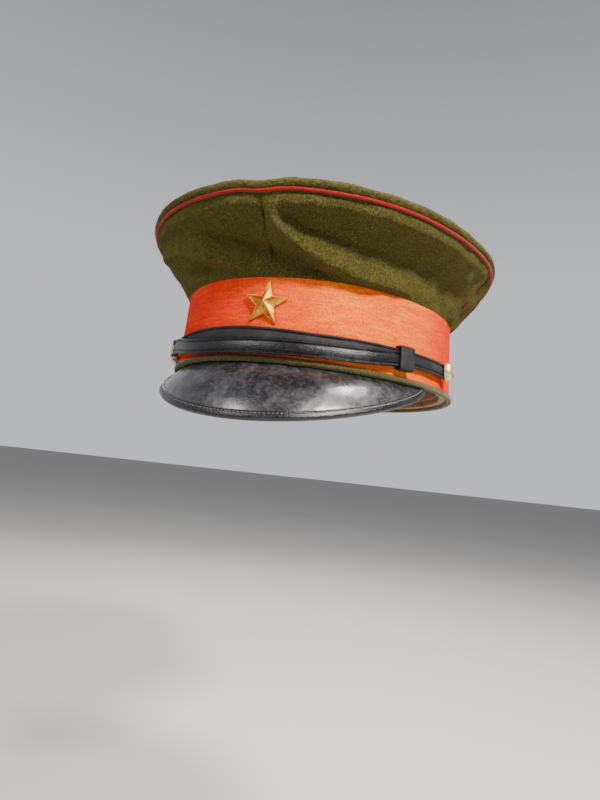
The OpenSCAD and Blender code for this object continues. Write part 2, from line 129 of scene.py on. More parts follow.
CAMERA_YAW, CAMERA_PITCH, CAMERA_ROLL = 0.310, -0.107, 0.104
CAMERA_DISTANCE = 443.0
CAMERA_AIM = (0, 0, 60.0)
AIM_ASIDE, AIM_BELOW = 0.036, 0.152615
SENSOR = 36.0
LENS = 29.25
LIGHTS_AIM = (0, 0, 0.04)
LIGHTS = {
    # name: place, size, watts, tint
    "key": ((0.88, -0.76, 0.84), 0.24, 50, (1, 0.97, 0.92)),
    "top": ((0.42, 0.06, 1.05), 0.26, 24, (1, 0.98, 0.96)),
    "front": ((-0.7, -1.1, 0.8), 0.5, 11, (1, 0.98, 0.96)),
    "back": ((-0.5, 0.95, 0.6), 0.6, 6, (1, 0.98, 0.95)),
}
WORLD_COLOUR = (0.95, 0.96, 1.0, 1)
WORLD_FADE = {"From Min": 0.25, "From Max": 0.8, "To Min": 0.72, "To Max": 0.16}
FLOOR_HALF = 20000
FLOOR_HEIGHT = -300

ARC_CENTRE = (BAND_HALF_LENGTH - BAND_HALF_WIDTH) / (2 - math.sqrt(2))
END_RADIUS = BAND_HALF_LENGTH - ARC_CENTRE
SIDE_RADIUS = BAND_HALF_WIDTH + ARC_CENTRE
LEAN = BAND_TAPER / BAND_HEIGHT
SWEATBAND_FACE = -SWEATBAND_IN - SWEATBAND_THICKNESS
BINDING_GAP = 0.1
BINDING_FACE = BINDING_GAP + BINDING_THICKNESS


# ---- Outline and placing ----


def vec(*parts):
    """Points from coordinates that may be arrays of any sizes that fit each other."""
    return np.stack(np.broadcast_arrays(*parts), -1).astype(float)


def unit(v):
    """The same directions, one long."""
    return v / np.linalg.norm(v, axis=-1, keepdims=True)


def bump(x, width):
    """1 at x = 0, falling smoothly to nothing a few widths away."""
    return np.exp(-((x / width) ** 2))


def step(x, low, high):
    """0 below low, 1 above high and smooth between them."""
    s = np.clip((x - low) / (high - low), 0, 1)
    return s * s * (3 - 2 * s)


def facing(t):
    """Outward way of the wall, seen from above."""
    return vec(np.sin(np.radians(t)), -np.cos(np.radians(t)))


def oval(t, off=0.0):
    """Point of the band's outline, moved out by off, where the wall faces t."""
    c, s = np.cos(np.radians(t)), np.sin(np.radians(t))
    end = np.abs(c) >= math.sqrt(0.5) - 1e-9
    x = np.where(end, 0, -np.sign(s) * ARC_CENTRE)
    y = np.where(end, -np.sign(c) * ARC_CENTRE, 0)
    radius = np.where(end, END_RADIUS, SIDE_RADIUS) + off
    return vec(x + radius * s, y - radius * c)


def on_wall(t, z, out=0.0):
    """Point at height z, out from the leaning face of the band."""
    p = oval(t, out - LEAN * np.asarray(z))
    return vec(p[..., 0], p[..., 1], z)


def wrap(t):
    """The same way, between -180 and 180 degrees."""
    return (np.asarray(t) + 180) % 360 - 180


def foot_rise(t):
    """How far the band's lower edge, and the cord on it, is drawn up over the peak."""
    return 1.5 * bump(wrap(t) + 18, 42)


def seam_distance(t):
    """Distance in degrees from the nearest of the crown's four seams."""
    return (np.asarray(t) + 45) % 90 - 45


def rim_wave(t):
    """How far the rim is pulled down at the seams and wanders up and down between them."""
    t = np.asarray(t, float)
    pull = 0.9 * bump(wrap(t), 5) + 0.4 * bump(seam_distance(t), 6)
    lift = 3.0 * bump(np.abs(wrap(t)) - 96, 24)
    wander = 0.35 * np.sin(np.radians(3 * t + 40)) + 0.25 * np.sin(np.radians(7 * t + 110))
    return wander + lift - pull


def drawn_in(t):
    """How far the rim is drawn in on the wearer's right."""
    return 1.7 * bump(wrap(t) + 80, 35)


def tilted(x, y, z):
    """Point in the rim's tilted frame, z above the piping's middle."""
    c, s = math.cos(RIM_TILT), math.sin(RIM_TILT)
    return vec(x, -RIM_FORWARD + y * c + z * s, RIM_HEIGHT - y * s + z * c)


def rim(t, out, z):
    """Point of the tilted rim: out beyond the band's outline and z above the piping's middle."""
    p = oval(t, out - drawn_in(t))
    return tilted(p[..., 0], p[..., 1], z + rim_wave(t))


def ripple(p, wavelength, seed, count=7):
    """Smooth irregular waves through space, about 1 high."""
    rng = np.random.default_rng(seed)
    total = 0
    for _ in range(count):
        way = unit(rng.normal(size=3))
        pitch = 2 * math.pi / (wavelength * rng.uniform(0.7, 1.4))
        total = total + np.sin(p @ way * pitch + rng.uniform(0, 2 * math.pi))
    return total / math.sqrt(count)


# ---- Mesh making ----


def mesh_piece(name, points, faces, places=None, smooth=40):
    """A piece from points in millimetres. places holds one texture place for each face corner."""
    mesh = bpy.data.meshes.new(name)
    mesh.from_pydata((np.asarray(points, float) * MM).tolist(), [], [list(f) for f in faces])
    if places is not None:
        layer = mesh.uv_layers.new(name="Along")
        layer.data.foreach_set("uv", (np.asarray(places, float) * MM).ravel())
    work = bmesh.new()
    work.from_mesh(mesh)
    bmesh.ops.recalc_face_normals(work, faces=work.faces)
    work.to_mesh(mesh)
    work.free()
    mesh.polygons.foreach_set("use_smooth", [True] * len(mesh.polygons))
    mesh.set_sharp_from_angle(angle=math.radians(smooth))
    piece = bpy.data.objects.new(name, mesh)
    bpy.context.scene.collection.objects.link(piece)
    return piece


def sweep(name, loops, closed=False, smooth=40, pole=False):
    """Solid through equal loops of points, closed on itself or capped with strips."""
    loops = np.asarray(loops, float)
    n, m = loops.shape[:2]
    rows = n if closed else n - 1
    i, j = np.meshgrid(np.arange(rows), np.arange(m), indexing="ij")
    k, l = (i + 1) % n, (j + 1) % m
    faces = np.stack([i * m + j, i * m + l, k * m + l, k * m + j], -1).reshape(-1, 4)
    u_steps = np.linalg.norm(np.roll(loops, -1, 0) - loops, axis=-1).mean(1)
    v_steps = np.linalg.norm(np.roll(loops, -1, 1) - loops, axis=-1).mean(0)
    u = np.concatenate([[0], np.cumsum(u_steps)])
    v = np.concatenate([[0], np.cumsum(v_steps)])
    places = np.stack(
        [vec(u[i], v[j]), vec(u[i], v[j + 1]), vec(u[i + 1], v[j + 1]), vec(u[i + 1], v[j])], -2
    ).reshape(-1, 2)
    faces = faces.tolist()
    if not closed:
        end = (n - 1) * m
        for j in range(m // 2 - 1):
            quad = [j, j + 1, m - 2 - j, m - 1 - j]
            faces += [quad, [end + q for q in quad]]
            places = np.concatenate([places, np.zeros((8, 2))])
    piece = mesh_piece(name, loops.reshape(-1, 3), faces, places, smooth)
    if pole:
        merge_points(piece)
    return piece


def merge_points(piece):
    """Joins points in one place, such as a ring drawn together to a pole."""
    work = bmesh.new()
    work.from_mesh(piece.data)
    bmesh.ops.remove_doubles(work, verts=work.verts, dist=1e-7)
    loose = [edge for edge in work.edges if not edge.link_faces]
    bmesh.ops.delete(work, geom=loose, context="EDGES")
    work.to_mesh(piece.data)
    work.free()


def turned(profile, count):
    """Loops of points of a turned shape, from its (radius, height) profile."""
    turn = np.linspace(0, 2 * math.pi, count, endpoint=False)[:, None]
    r, z = np.array(profile, float).T
    return vec(r * np.cos(turn), r * np.sin(turn), z + 0 * turn)


def lathe(name, profile):
    """Turned solid from a profile that starts and ends on the axis."""
    piece = sweep(name, turned(profile, 64), True, 35)
    merge_points(piece)
    return piece


def place_on_band(piece, t, z):
    """Moves a piece made with X along, Y up and Z out to its place on the band."""
    middle = on_wall(t, z)
    along = np.append(unit(vec(np.cos(np.radians(t)), np.sin(np.radians(t)))), 0)
    lean = math.atan(LEAN)
    outward = np.append(facing(t) * math.cos(lean), math.sin(lean))
    upward = np.cross(outward, along)
    set_frame(piece, middle, along, upward, outward)


def set_frame(piece, middle, along, upward, outward):
    """Turns a piece's own axes to along, upward and outward, and moves it to middle."""
    co = np.empty(len(piece.data.vertices) * 3)
    piece.data.vertices.foreach_get("co", co)
    co = co.reshape(-1, 3) / MM
    co = middle + co[:, :1] * along + co[:, 1:2] * upward + co[:, 2:] * outward
    piece.data.vertices.foreach_set("co", (co * MM).ravel())
    piece.data.update()


def stitch_row(name, points, normals, length, width, height):
    """A row of rounded stitches lying on a surface, one from each point towards the next."""
    shares = [-1, -0.82, -0.4, 0.4, 0.82, 1]
    fat = [0.15, 0.7, 1, 1, 0.7, 0.15]
    ring = 6
    turn = np.linspace(0, 2 * math.pi, ring, endpoint=False)
    all_points, faces = [], []
    for a, b, normal in zip(points[:-1], points[1:], normals):
        way = unit(b - a)
        side = np.cross(normal, way)
        middle = (a + b) / 2
        first = len(all_points)
        for share, f in zip(shares, fat):
            centre = middle + way * share * length / 2 + normal * (f - 1) * height * 0.6
            for w in turn:
                round_it = side * math.cos(w) * width / 2 * f + normal * math.sin(w) * height * f
                all_points.append(centre + round_it)
        for s in range(len(shares) - 1):
            for q in range(ring):
                a0, a1 = first + s * ring + q, first + s * ring + (q + 1) % ring
                faces.append([a0, a1, a1 + ring, a0 + ring])
        faces.append([first + q for q in range(ring)])
        faces.append([first + (len(shares) - 1) * ring + q for q in range(ring)])
    return mesh_piece(name, all_points, faces, None, 60)


def finish_piece(piece, body, slot, material, *nodes):
    """Gives a piece its material, makes it ride on its body and hides the CAD nodes it replaces; slot
    is not used.
    """
    piece.data.materials.append(material)
    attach(piece, body)
    if nodes:
        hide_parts(*nodes)


# ---- Node helpers ----


class Recipe:
    """A material's node tree, with one short call for each node."""

    def __init__(self, name):
        self.material = bpy.data.materials.new(name)
        self.material.use_nodes = True
        self.tree = self.material.node_tree
        self.shader = self.tree.nodes["Principled BSDF"]

    def set(self, target, name, value):
        """Links a socket or sets a plain value."""
        socket = target.inputs[name]
        if isinstance(value, bpy.types.NodeSocket):
            self.tree.links.new(value, socket)
        else:
            socket.default_value = value

    def make(self, kind, settings=None, out=0, **choices):
        """A new node, with its inputs and choices set, as one of its output sockets."""
        made = self.tree.nodes.new("ShaderNode" + kind)
        for key, value in choices.items():
            setattr(made, key, value)
        for name, value in (settings or {}).items():
            self.set(made, name, value)
        return made.outputs[out]

    def place(self):
        """Place in space, in millimetres."""
        at = self.make("TexCoord", out=3)
        return self.make("VectorMath", {0: at, 3: 1 / MM}, operation="SCALE")

    def split(self, at):
        """The X, Y and Z of a place, each as a socket."""
        made = self.tree.nodes.new("ShaderNodeSeparateXYZ")
        self.set(made, 0, at)
        return made.outputs

    def along(self, x=1.0, y=1.0):
        """Place along and round a swept piece, in millimetres times x and y."""
        at = self.make("UVMap", uv_map="Along")
        return self.make("Mapping", {"Vector": at, "Scale": (x / MM, y / MM, 1)})

    def noise(self, at, size, detail=3.0, rough=0.55, twist=0.0):
        """Noise from about 0 to 1, with blotches of the given size in millimetres."""
        settings = {"Vector": at, "Scale": 1 / size, "Detail": detail, "Roughness": rough}
        return self.make("TexNoise", settings | {"Distortion": twist})

    def spots(self, at, size):
        return self.make("TexVoronoi", {"Vector": at, "Scale": 1 / size})

    def ramp(self, value, low, high, to_low=0.0, to_high=1.0):
        """Goes smoothly from to_low to to_high as value goes from low to high."""
        ends = {0: value, 1: low, 2: high, 3: to_low, 4: to_high}
        return self.make("MapRange", ends, interpolation_type="SMOOTHSTEP")

    def math(self, operation, a, b):
        return self.make("Math", {0: a, 1: b}, operation=operation)

    def mix(self, share, a, b):
        """Colour that is a where share is 0 and b where it is 1."""
        return self.make("Mix", {0: share, 6: a, 7: b}, out=2, data_type="RGBA")

    def relief(self, height, strength, distance):
        """Bump from a height of 0 to 1 that stands for distance millimetres."""
        return self.make("Bump", {"Height": height, "Strength": strength, "Distance": distance * MM})

    def done(self, **inputs):
        """Sets the shader's own inputs and gives the finished material."""
        for name, value in inputs.items():
            self.set(self.shader, name.replace("_", " "), value)
        return self.material


def colour(r, g, b):
    """A colour from its sRGB parts, 0 to 255."""
    return tuple(
        c / 12.92 if c <= 0.04045 else ((c + 0.055) / 1.055) ** 2.4
        for c in (r / 255, g / 255, b / 255)
    ) + (1.0,)


# ---- Materials ----


def wool():
    """Coarse olive wool: speckled, streaky down the cloth, with a soft nap."""
    r = Recipe("olive_wool")
    at = r.place()
    streak = r.noise(r.along(1, 0.7), 1.1, 4, 0.75, 0.6)
    speck = r.noise(at, 0.5, 4, 0.8)
    cloud = r.noise(at, 16, 4, 0.6)
    lint = r.ramp(r.noise(at, 1.3, 5, 0.8), 0.60, 0.70)
    base = r.mix(r.ramp(streak, 0.34, 0.68), colour(58, 54, 17), colour(114, 106, 44))
    base = r.mix(r.ramp(speck, 0.40, 0.60), colour(26, 24, 7), base)
    base = r.mix(r.math("MULTIPLY", lint, 0.4), base, colour(150, 142, 78))
    base = r.mix(r.ramp(cloud, 0.35, 0.75, 0.0, 0.35), base, colour(54, 44, 16))
    height = r.math("ADD", r.math("MULTIPLY", streak, 0.9), r.math("MULTIPLY", speck, 1.1))
    return r.done(
        Base_Color=base, Roughness=0.95, Specular_IOR_Level=0.15, Sheen_Weight=0.3,
        Sheen_Roughness=0.45, Sheen_Tint=colour(140, 126, 60), Normal=r.relief(height, 1.0, 0.8),
    )


def red_felt():
    """Vermilion felt, streaked along the band, with dark specks; painted light makes it paler orange
    towards the wearer's left front, where the key light falls."""
    r = Recipe("red_felt")
    at = r.place()
    streak = r.noise(r.along(0.12, 1), 1.6, 5, 0.7, 0.5)
    patch = r.noise(r.along(0.4, 1), 11, 4, 0.65)
    grain = r.noise(at, 0.9, 5, 0.8)
    speck = r.ramp(r.noise(at, 1.1, 3, 0.65), 0.62, 0.72)
    across = r.split(at)
    # Painted light: the felt is painted paler orange towards the wearer's left front, where the key
    # light falls, broken into patches
    front = r.ramp(across[1], -70, -10, 1, 0)
    painted_light_share = r.math("MULTIPLY", r.ramp(across[0], -35, 50), front)
    painted_light_share = r.math("MULTIPLY", painted_light_share, r.ramp(patch, 0.25, 0.6, 0.6, 1))
    base = r.mix(r.ramp(streak, 0.36, 0.70), colour(204, 24, 0), colour(224, 50, 0))
    pale = r.mix(r.ramp(streak, 0.36, 0.66), colour(238, 92, 4), colour(246, 138, 22))
    base = r.mix(painted_light_share, base, pale)
    base = r.mix(r.ramp(patch, 0.45, 0.75, 0, 0.22), base, pale)
    base = r.mix(r.ramp(grain, 0.36, 0.60, 0.6, 0.0), base, colour(150, 22, 0))
    base = r.mix(r.math("MULTIPLY", speck, 0.5), base, colour(96, 20, 4))
    height = r.math("ADD", streak, grain)
    return r.done(
        Base_Color=base, Roughness=0.92, Specular_IOR_Level=0.15, Sheen_Weight=0.06,
        Sheen_Roughness=0.5, Sheen_Tint=colour(255, 110, 20), Normal=r.relief(height, 0.9, 0.5),
    )


def red_cord():
    """Red cloth wound tight round the piping, darker in patches."""
    r = Recipe("red_cord")
    at = r.place()
    weave = r.noise(r.along(1, 0.5), 0.5, 2)
    wear = r.noise(at, 5, 4, 0.7)
    base = r.mix(r.ramp(weave, 0.35, 0.65), colour(92, 10, 4), colour(156, 20, 6))
    base = r.mix(r.ramp(wear, 0.5, 0.75, 0, 0.6), base, colour(66, 12, 8))
    return r.done(
        Base_Color=base, Roughness=0.9, Specular_IOR_Level=0.2, Sheen_Weight=0.1,
        Sheen_Roughness=0.5, Normal=r.relief(weave, 0.6, 0.3),
    )


def olive_cord():
    """Twisted olive yarn with fine fibres along its strands."""
    r = Recipe("olive_cord")
    at = r.place()
    fibre = r.noise(at, 0.35, 3, 0.7)
    shade = r.noise(at, 4, 3)
    base = r.mix(r.ramp(fibre, 0.3, 0.7), colour(34, 32, 11), colour(88, 82, 34))
    base = r.mix(r.ramp(shade, 0.4, 0.75, 0, 0.4), base, colour(62, 50, 20))
    return r.done(
        Base_Color=base, Roughness=0.9, Specular_IOR_Level=0.2, Sheen_Weight=0.3,
        Sheen_Roughness=0.4, Normal=r.relief(fibre, 0.8, 0.3),
    )


def lining_cloth():
    """Thin tan cotton with a fine plain weave and faint stains."""
    r = Recipe("lining_cloth")
    at = r.place()
    over = r.make("TexWave", {"Vector": r.along(1, 1), "Scale": 0.55, "Distortion": 0.4})
    stain = r.noise(at, 30, 4)
    base = r.mix(r.ramp(stain, 0.35, 0.75), colour(168, 140, 96), colour(128, 102, 66))
    base = r.mix(r.math("MULTIPLY", over, 0.2), base, colour(198, 172, 126))
    return r.done(
        Base_Color=base, Roughness=0.75, Sheen_Weight=0.15, Normal=r.relief(over, 0.4, 0.15),
    )


def lacquered_leather():
    """Old black lacquer: hazed grey, finely mottled, scratched and dusty."""
    r = Recipe("lacquered_leather")
    at = r.place()
    haze = r.noise(at, 9, 6, 0.7, 0.3)
    mottle = r.noise(at, 2.4, 5, 0.75)
    lie = r.make("Mapping", {"Vector": at, "Rotation": (0, 0, 0.5), "Scale": (0.06, 1, 1)})
    scratch = r.noise(lie, 0.8, 2)
    dust = r.ramp(r.noise(at, 0.8, 2, 0.6), 0.72, 0.78)
    worn = r.math("ADD", r.ramp(haze, 0.42, 0.64, 0, 0.3), r.ramp(mottle, 0.46, 0.64, 0, 0.3))
    base = r.mix(worn, colour(20, 20, 22), colour(78, 76, 80))
    base = r.mix(r.math("MULTIPLY", dust, 0.8), base, colour(200, 196, 192))
    rough = r.math("ADD", 0.27, r.math("MULTIPLY", worn, 0.16))
    height = r.math("ADD", mottle, r.ramp(scratch, 0.62, 0.7, 0, -0.4))
    return r.done(
        Base_Color=base, Roughness=rough, Specular_IOR_Level=0.7, Coat_Weight=0.5,
        Coat_Roughness=0.2, Normal=r.relief(height, 0.25, 0.2),
    )


def leather(name, dark, light, grain_size, rough_low, rough_high, coat=0.0):
    """Grained leather with worn lighter patches."""
    r = Recipe(name)
    at = r.place()
    cells = r.spots(at, grain_size)
    wear = r.noise(at, 9, 5, 0.7)
    fine = r.noise(at, 0.8, 4, 0.75)
    base = r.mix(r.ramp(wear, 0.45, 0.75), dark, light)
    base = r.mix(r.ramp(fine, 0.6, 0.8, 0, 0.5), base, light)
    mean = r.math("MULTIPLY", r.math("ADD", fine, wear), 0.5)
    rough = r.ramp(mean, 0.35, 0.65, rough_low, rough_high)
    height = r.math("ADD", r.math("MULTIPLY", cells, 0.8), fine)
    return r.done(
        Base_Color=base, Roughness=rough, Specular_IOR_Level=0.35, Coat_Weight=coat,
        Coat_Roughness=0.3, Normal=r.relief(height, 0.5, 0.25),
    )


def metal(name, bright, dull, rough_low, rough_high):
    """Old metal: tarnished in patches, finely scratched."""
    r = Recipe(name)
    at = r.place()
    patch = r.noise(at, 3.5, 5, 0.65)
    fine = r.noise(at, 0.4, 3, 0.7)
    base = r.mix(r.ramp(patch, 0.42, 0.7), bright, dull)
    mean = r.math("MULTIPLY", r.math("ADD", patch, fine), 0.5)
    rough = r.ramp(mean, 0.3, 0.65, rough_low, rough_high)
    return r.done(
        Base_Color=base, Metallic=1.0, Roughness=rough, Normal=r.relief(fine, 0.25, 0.08),
    )


def buckram():
    """Stiff glued canvas."""
    r = Recipe("buckram")
    at = r.place()
    weave = r.noise(at, 0.8, 2)
    base = r.mix(r.ramp(weave, 0.35, 0.65), colour(150, 128, 90), colour(190, 170, 128))
    return r.done(Base_Color=base, Roughness=0.85, Normal=r.relief(weave, 0.5, 0.25))


def thread(name, dark, light):
    """Twisted sewing thread."""
    r = Recipe(name)
    fibre = r.noise(r.place(), 0.3, 2)
    return r.done(
        Base_Color=r.mix(fibre, dark, light), Roughness=0.7, Normal=r.relief(fibre, 0.4, 0.1),
    )


def floor_paint():
    """Plain pale paint, very slightly uneven."""
    r = Recipe("floor_paint")
    tone = r.noise(r.place(), 400, 2)
    base = r.mix(tone, colour(190, 189, 187), colour(198, 197, 195))
    return r.done(Base_Color=base, Roughness=0.9)


OLIVE_WOOL = wool()
FELT_RED = red_felt()
PIPING_RED = red_cord()
CORD_OLIVE = olive_cord()
LINING_TAN = lining_cloth()
LACQUER = lacquered_leather()
BINDING_BLACK = leather(
    "binding_leather", colour(10, 10, 11), colour(30, 29, 30), 0.7, 0.2, 0.36, 0.2
)
PEAK_LINING_GREEN = leather(
    "peak_lining_leather", colour(30, 34, 24), colour(58, 62, 44), 0.9, 0.4, 0.65
)
STRAP_BLACK = leather("strap_leather", colour(7, 7, 9), colour(28, 27, 31), 0.8, 0.22, 0.4, 0.12)
STRAP_SUEDE = leather("strap_suede", colour(14, 13, 15), colour(46, 42, 46), 0.6, 0.55, 0.8)
SWEATBAND_TAN = leather("sweatband_leather", colour(120, 78, 44), colour(92, 56, 30), 1.0, 0.45, 0.7)
BRASS = metal("brass", colour(216, 158, 62), colour(150, 100, 38), 0.26, 0.44)
BUTTON_BRASS = metal("button_brass", colour(226, 212, 164), colour(176, 156, 104), 0.3, 0.5)
EYELET = metal("eyelet_metal", colour(118, 66, 40), colour(60, 36, 24), 0.35, 0.6)
STEEL = metal("spring_steel", colour(150, 148, 145), colour(96, 88, 80), 0.3, 0.5)
CANVAS = buckram()
BLACK_THREAD = thread("black_thread", colour(52, 50, 48), colour(112, 108, 102))
PALE_THREAD = thread("pale_thread", colour(170, 150, 110), colour(214, 198, 160))
FLOOR_PALE = floor_paint()


# ---- Crown ----


def drape(t, s, p):
    """How far the cloth of the crown's side swells out or sinks in where it faces t, a share s
    of the way up; p are the places in space, for the irregular part."""
    t = wrap(t)
    left, right = np.clip(t, 0, None), np.clip(-t, 0, None)
    # Wearer's left: a fold falls from the top of the front seam and runs back above the band,
    # with a deep hollow over it
    fold = 0.09 + 0.80 * np.exp(-left / 13)
    d = 4.2 * step(t, -1, 5) * step(-t, -62, -42) * bump(s - fold, 0.11)
    hollow = 0.38 + 0.34 * np.exp(-np.clip(t - 8, 0, None) / 28)
    breadth = 0.12 + 0.09 * step(t, 10, 40)
    d -= 8.0 * step(t, 3, 15) * step(-t, -88, -60) * bump(s - hollow, breadth)
    # Under the fold, and up across the wearer's right, runs a second hollow
    under = 0.28 - 0.010 * left + 0.012 * right
    d -= 6.6 * step(t, -36, -22) * step(-t, -36, -12) * bump(s - under, 0.12)
    d -= 3.4 * bump(t + 10, 7) * bump(s - 0.62, 0.16)
    # Wearer's right: a swell climbs away from the seam, with a dimple below it
    d += 3.4 * step(right, 8, 20) * step(t, -68, -52) * bump(s - 0.0115 * right, 0.10)
    d -= 4.2 * bump(t + 39, 9) * bump(s - 0.20, 0.075)
    d -= 2.4 * step(right, 52, 76) * bump(s - 0.55, 0.3)
    # The cloth swells out again just under the piping
    edge = (1 - 0.5 * bump(t, 4)) * (1 - 0.9 * bump(np.abs(t) - 96, 32))
    d += 2.8 * bump(s - 0.88, 0.08) * edge
    # Seams, and the irregular give of old cloth
    arc = seam_distance(t) * 1.6
    d -= 0.9 * bump(arc, 4.0) * step(s, 0.2, 0.8)
    d -= 0.45 * bump(arc, 0.6) * step(s, 0.1, 0.9)
    d += 0.8 * ripple(p, 30, 3) + 0.4 * ripple(p, 11, 5)
    # The hoop wire inside keeps the cloth from sinking far near the rim
    d = np.maximum(d, -WIRE_GIVE - WIRE_SLOPE * np.clip(WIRE_SHARE - s, 0, None))
    return d * step(s, 0, 0.1) * step(1 - s, 0, 0.05)


def side_point(t, s, inset):
    """Point of the crown's side before the cloth's own folds are added, and its outward way."""
    foot = on_wall(t, BAND_HEIGHT, -inset)
    head = rim(t, RIM_SPREAD - PIPING_RADIUS - inset, -0.4)
    lie = unit(head - foot)
    round_way = vec(np.cos(np.radians(t)), np.sin(np.radians(t)), 0 * t)
    normal = np.cross(round_way, lie)
    belly = SIDE_BELLY * 6.75 * s * s * (1 - s)  # fullest two thirds of the way up
    return foot + (head - foot) * s[..., None] + belly[..., None] * normal, normal


def side_cloth(t, s, inset=0.0):
    """Point of the crown's cloth, with its folds."""
    p, normal = side_point(t, s, inset)
    outer, _ = side_point(t, s, 0.0)
    return p + drape(t, s, outer)[..., None] * normal


def crown_side(name, t0, node):
    """One of the four quarters of the crown's side, from the seam where the wall faces t0."""
    t = np.linspace(t0 + QUARTER_GAP, t0 + 90 - QUARTER_GAP, 230)[:, None]
    up = np.linspace(0, 1, 46)[None, :]
    down = np.linspace(1, 0, 24)[None, :]
    outer = side_cloth(t + 0 * up, up + 0 * t)
    _, normal = side_point(t + 0 * up, up + 0 * t, 0.0)
    nap = 0.13 * ripple(outer, 1.9, 11, 12) * step(np.minimum(up, 1 - up), 0, 0.05)
    outer = outer + nap[..., None] * normal
    inner = side_cloth(t + 0 * down, down + 0 * t, CLOTH)
    piece = sweep(name, np.concatenate([outer, inner], 1))
    finish_piece(piece, "cap", "olive_wool", OLIVE_WOOL, node)


def make_crown_sides():
    crown_side("front_left_cloth", 0, "crown_front_left")
    crown_side("front_right_cloth", -90, "crown_front_right")
    crown_side("back_left_cloth", 90, "crown_back_left")
    crown_side("back_right_cloth", 180, "crown_back_right")


def smooth_line(points, count):
    """Catmull-Rom curve through points, as count places spaced by the points' order."""
    p = np.asarray(points, float)
    p = np.concatenate([[2 * p[0] - p[1]], p, [2 * p[-1] - p[-2]]])
    at = np.linspace(0, len(points) - 1 - 1e-9, count)
    i = at.astype(int)
    f = (at - i)[:, None]
    a, b, c, d = p[i], p[i + 1], p[i + 2], p[i + 3]
    return 0.5 * (2 * b + (c - a) * f + (2 * a - 5 * b + 4 * c - d) * f**2
                  + (3 * b - a - 3 * c + d) * f**3)


def make_crown_top():
    """The top panel rolls over the piping, with its edge turned in, and lies nearly flat."""
    flat_from, upper, lower = -10, 7.5, 6.2
    roll = smooth_line([[-1.0, 0.5], [0.9, 1.2], [2.0, 2.7], [1.6, 4.6], [-0.9, 6.4],
                        [-5.2, 7.3], [flat_from, upper]], 26)
    under = smooth_line([[flat_from, lower], [-5.9, 5.9], [-2.3, 5.1], [-0.1, 4.2], [0.3, 2.9],
                         [-0.6, 1.8], [-2.2, 0.5]], 14)
    t = np.arange(0, 360, 0.5)[:, None]
    shares = np.linspace(1, 0, 44)[1:] ** 0.9

    def ring(out, z):
        return rim(t, RIM_SPREAD + out + 0 * t, z + 0 * t)

    def flat(z, k):
        p = oval(t, RIM_SPREAD + flat_from - drawn_in(t)) * k
        sag = z - 1.1 * (1 - k**2)
        return tilted(p[..., 0], p[..., 1], sag + rim_wave(t) * k**4)

    over = np.concatenate([ring(*roll.T)] + [flat(upper, k) for k in shares], 1)
    below = np.concatenate([flat(lower, k) for k in shares[::-3]] + [ring(*under.T)], 1)
    puff = 0.3 * ripple(over, 34, 21) + 0.2 * ripple(over, 9, 22)
    puff = puff + 0.14 * ripple(over, 1.8, 23, 12)
    rows = np.arange(over.shape[1])
    pinch = 0.5 * bump(wrap(t), 3) * bump(rows - 9, 8)
    over[..., 2] += puff * step(rows, 0, 4) - pinch
    piece = sweep("top_cloth", np.concatenate([over, below], 1), closed=True, pole=True)
    finish_piece(piece, "cap", "olive_wool", OLIVE_WOOL, "crown_top_panel")


def make_crown_piping():
    """Red cord between the side and the top, with its tape sewn in."""
    t = np.arange(0, 360, 0.4)[:, None]
    turn = np.radians(np.linspace(160, -160, 15))[None, :]
    radius = PIPING_RADIUS + 0.07 * ripple(rim(t, RIM_SPREAD + 0 * t, 0 * t), 4, 31)
    tape = np.array([[-0.3, 0.3]]) + 0 * t
    out = np.concatenate([radius * np.cos(turn), -PIPING_TAPE + 0 * tape], 1)
    up = np.concatenate([radius * np.sin(turn), tape], 1)
    piece = sweep("red_piping", rim(t + 0 * out, RIM_SPREAD + out, up), closed=True)
    finish_piece(piece, "cap", "red_piping", PIPING_RED, "crown_piping")


def make_side_lining():
    """Puckered lining that hangs from the tip and follows the cloth where that sinks in."""
    t = np.arange(0, 360, 1.0)[:, None]
    s = np.linspace(0, 1, 16)[None, :]
    out = np.append(facing(t), np.zeros_like(t)[..., None], -1)

    def face(back):
        wall = -STIFFENER_IN - LINING_CLEAR - back
        low = on_wall(t, BAND_HEIGHT - LINING_HEM, wall)
        foot = on_wall(t, BAND_HEIGHT, wall)
        head = rim(t, RIM_SPREAD - 8.6 - back, -1.0)
        rise = foot + (head - foot) * s[..., None]
        sink = np.minimum(drape(t + 0 * s, s + 0 * t, rise), 0)
        pleat = 0.6 * np.sin(np.radians(t * 24)) * np.sin(np.pi * s)
        give = 1.4 * sink - 2.4 * np.sin(np.pi * s) ** 0.5 + pleat
        return np.concatenate([low, rise + give[..., None] * out], 1)

    outer, inner = face(0.0), face(LINING)
    side = sweep("side_lining", np.concatenate([outer, inner[:, ::-1]], 1), closed=True)
    finish_piece(side, "cap", "lining_cloth", LINING_TAN, "crown_lining_side")


def make_lining_tip():
    """Flat lining under the top panel, lowest in the middle."""
    t = np.arange(0, 360, 1.0)[:, None]
    shares = np.linspace(0, 1, 16)

    def ring(k, z):
        p = oval(t, RIM_SPREAD - 7.0) * k
        return tilted(p[..., 0], p[..., 1], z - 0.5 * (1 - k * k))

    rings = [ring(k, -TIP_BELOW) for k in shares]
    rings += [ring(k, -TIP_BELOW - LINING) for k in shares[::-1]]
    tip = sweep("lining_tip", np.concatenate(rings, 1), closed=True, pole=True)
    finish_piece(tip, "cap", "lining_cloth", LINING_TAN, "crown_lining_tip")


def side_frame(t, s):
    """Place and axes on the crown's cloth."""
    t, s = np.array([float(t)]), np.array([float(s)])
    middle = side_cloth(t, s)[0]
    along = unit(side_cloth(t + 0.8, s)[0] - side_cloth(t - 0.8, s)[0])
    upward = side_cloth(t, s + 0.04)[0] - side_cloth(t, s - 0.04)[0]
    outward = unit(np.cross(along, upward))
    return middle, along, np.cross(outward, along), outward


